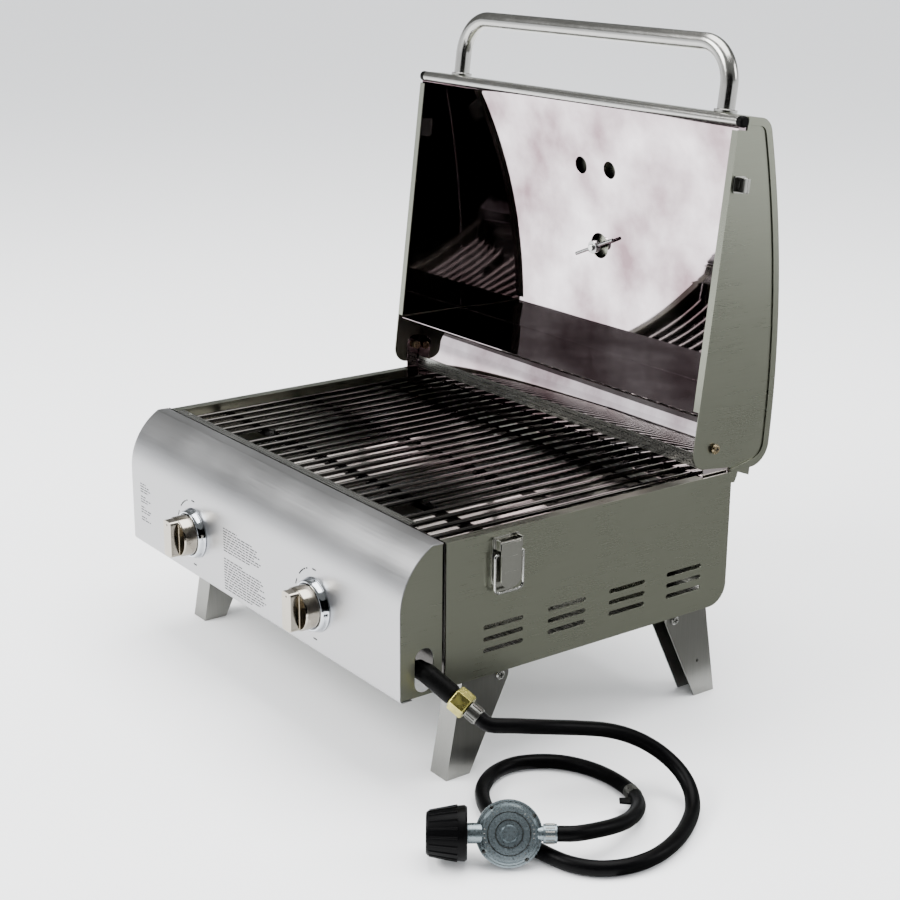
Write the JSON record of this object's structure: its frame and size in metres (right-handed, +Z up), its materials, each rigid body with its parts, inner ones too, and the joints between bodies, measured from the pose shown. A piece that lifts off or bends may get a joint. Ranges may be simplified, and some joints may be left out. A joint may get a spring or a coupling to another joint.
{
  "type": "folding camp grill",
  "caption": "Tabletop gas grill with a hinged latching lid, rod grate, turn knobs, slide-out grease tray, folding legs, and a hose with its regulator.",
  "frame": {"origin": "centre of the grill's own bounding box on the ground, without the hose, its fittings and its regulator", "axes": "+X to the grill's right seen by the cook looking at the knobs (the gas inlet side), +Y from the knobs to the hinge, +Z up"},
  "size_m": [0.8022, 0.5516, 0.7173],
  "materials": {
    "side_steel": "brushed",
    "shell_steel": "brushed",
    "panel_steel": "brushed satin",
    "mirror_steel": "mirror polished stainless",
    "bezel_chrome": "polished",
    "knob_nickel": "warm satin nickel",
    "stem_steel": "machined",
    "valve_brass": "cast",
    "burner_steel": "satin",
    "tent_steel": "satin",
    "pipe_steel": "satin",
    "rod_steel": "dark polished",
    "tray_steel": "satin",
    "leg_steel": "satin",
    "screw_steel": "machined",
    "bolt_steel": "warm plated",
    "handle_steel": "satin",
    "latch_steel": "satin",
    "wire_steel": "bright",
    "dial_steel": "satin",
    "black_rubber": "matte",
    "hose_rubber": "semi-matte",
    "nut_yellow": "yellow passivated",
    "ferrule_steel": "crimped",
    "regulator_zinc": "die cast, grey",
    "wheel_plastic": "moulded"
  },
  "bodies": {
    "firebox": {"control_panel": "panel_steel", "control_panel_left_cap": "side_steel", "control_panel_right_cap": "side_steel", "firebox_front_panel": "panel_steel", "firebox_left_side": "side_steel", "firebox_right_side": "side_steel", "firebox_shell": "shell_steel", "front_heat_shield": "shell_steel", "front_left_leg_screw": "screw_steel", "front_right_leg_screw": "screw_steel", "gas_hose": "hose_rubber", "gas_manifold": "pipe_steel", "hose_inlet_ferrule": "ferrule_steel", "hose_sleeve": "black_rubber", "hose_union_nut": "nut_yellow", "left_burner": "burner_steel", "left_gas_valve": "valve_brass", "left_heat_tent": "tent_steel", "left_hinge_bracket": "mirror_steel", "left_knob_bezel": "bezel_chrome", "left_latch_base": "latch_steel", "left_lid_pivot_bolt": "bolt_steel", "rear_guard": "mirror_steel", "rear_left_leg_screw": "screw_steel", "rear_right_leg_screw": "screw_steel", "regulator": "regulator_zinc", "right_burner": "burner_steel", "right_gas_valve": "valve_brass", "right_heat_tent": "tent_steel", "right_hinge_bracket": "mirror_steel", "right_knob_bezel": "bezel_chrome", "right_latch_base": "latch_steel", "right_lid_pivot_bolt": "bolt_steel"},
    "lid": {"lid_skin": "side_steel", "lid_liner": "mirror_steel", "lid_left_side": "side_steel", "lid_right_side": "side_steel", "lid_front_rail": "handle_steel", "left_rail_plug": "black_rubber", "right_rail_plug": "black_rubber", "lid_handle": "handle_steel", "left_latch_keeper": "latch_steel", "right_latch_keeper": "latch_steel", "lid_thermometer": "dial_steel", "thermometer_wing_nut": "stem_steel"},
    "cooking_grate": {"cooking_grate": "rod_steel"},
    "grease_tray": {"grease_tray": "tray_steel"},
    "regulator_handwheel": {"regulator_handwheel": "wheel_plastic"},
    "front_left_leg": {"front_left_leg": "leg_steel"},
    "front_right_leg": {"front_right_leg": "leg_steel"},
    "rear_left_leg": {"rear_left_leg": "leg_steel"},
    "rear_right_leg": {"rear_right_leg": "leg_steel"},
    "left_valve_stem": {"left_valve_stem": "stem_steel"},
    "left_knob": {"left_knob": "knob_nickel"},
    "left_latch_lever": {"left_latch_lever": "latch_steel"},
    "left_latch_bail": {"left_latch_bail": "wire_steel"},
    "right_valve_stem": {"right_valve_stem": "stem_steel"},
    "right_knob": {"right_knob": "knob_nickel"},
    "right_latch_lever": {"right_latch_lever": "latch_steel"},
    "right_latch_bail": {"right_latch_bail": "wire_steel"}
  },
  "joints": [
    {"name": "lid_hinge", "type": "hinge", "parent": "firebox", "child": "lid", "pos_m": [0, 0.17314, 0.2934], "axis": [1, 0, 0], "range_deg": [0, 96.7]},
    {"name": "front_left_leg_fold", "type": "hinge", "parent": "firebox", "child": "front_left_leg", "pos_m": [-0.25075, -0.10106, 0.1005], "axis": [1, 0, 0], "range_deg": [0, 112]},
    {"name": "front_right_leg_fold", "type": "hinge", "parent": "firebox", "child": "front_right_leg", "pos_m": [0.25075, -0.10106, 0.1005], "axis": [1, 0, 0], "range_deg": [0, 112]},
    {"name": "rear_left_leg_fold", "type": "hinge", "parent": "firebox", "child": "rear_left_leg", "pos_m": [-0.25075, 0.13944, 0.1005], "axis": [-1, 0, 0], "range_deg": [0, 112]},
    {"name": "rear_right_leg_fold", "type": "hinge", "parent": "firebox", "child": "rear_right_leg", "pos_m": [0.25075, 0.13944, 0.1005], "axis": [-1, 0, 0], "range_deg": [0, 112]},
    {"name": "left_knob_push", "type": "slide", "parent": "firebox", "child": "left_valve_stem", "axis": [0, 1, 0], "range_m": [0, 0.004], "stiffness_N_per_m": 900, "springref_m": -0.002},
    {"name": "left_knob_turn", "type": "hinge", "parent": "left_valve_stem", "child": "left_knob", "pos_m": [-0.128, -0.23956, 0.1625], "axis": [0, -1, 0], "range_deg": [0, 180]},
    {"name": "left_latch_lever_swing", "type": "hinge", "parent": "firebox", "child": "left_latch_lever", "pos_m": [-0.2875, -0.10906, 0.251], "axis": [0, -1, 0], "range_deg": [-100, 0]},
    {"name": "left_latch_bail_swing", "type": "hinge", "parent": "left_latch_lever", "child": "left_latch_bail", "pos_m": [-0.287, -0.10906, 0.241], "axis": [0, 1, 0], "range_deg": [0, 180]},
    {"name": "right_knob_push", "type": "slide", "parent": "firebox", "child": "right_valve_stem", "axis": [0, 1, 0], "range_m": [0, 0.004], "stiffness_N_per_m": 900, "springref_m": -0.002},
    {"name": "right_knob_turn", "type": "hinge", "parent": "right_valve_stem", "child": "right_knob", "pos_m": [0.128, -0.23956, 0.1625], "axis": [0, -1, 0], "range_deg": [0, 180]},
    {"name": "right_latch_lever_swing", "type": "hinge", "parent": "firebox", "child": "right_latch_lever", "pos_m": [0.2875, -0.10906, 0.251], "axis": [0, 1, 0], "range_deg": [-100, 0]},
    {"name": "right_latch_bail_swing", "type": "hinge", "parent": "right_latch_lever", "child": "right_latch_bail", "pos_m": [0.287, -0.10906, 0.241], "axis": [0, -1, 0], "range_deg": [0, 180]},
    {"name": "cooking_grate_lift", "type": "slide", "parent": "firebox", "child": "cooking_grate", "axis": [0, 0, -1], "range_m": [-0.06, 0]},
    {"name": "grease_tray_slide", "type": "slide", "parent": "firebox", "child": "grease_tray", "axis": [0, 1, 0], "range_m": [0, 0.25]},
    {"name": "regulator_handwheel_turn", "type": "hinge", "parent": "firebox", "child": "regulator_handwheel", "pos_m": [0.39929, -0.24203, 0.0296], "axis": [-0.5913, -0.8064, 0], "continuous": true}
  ]
}
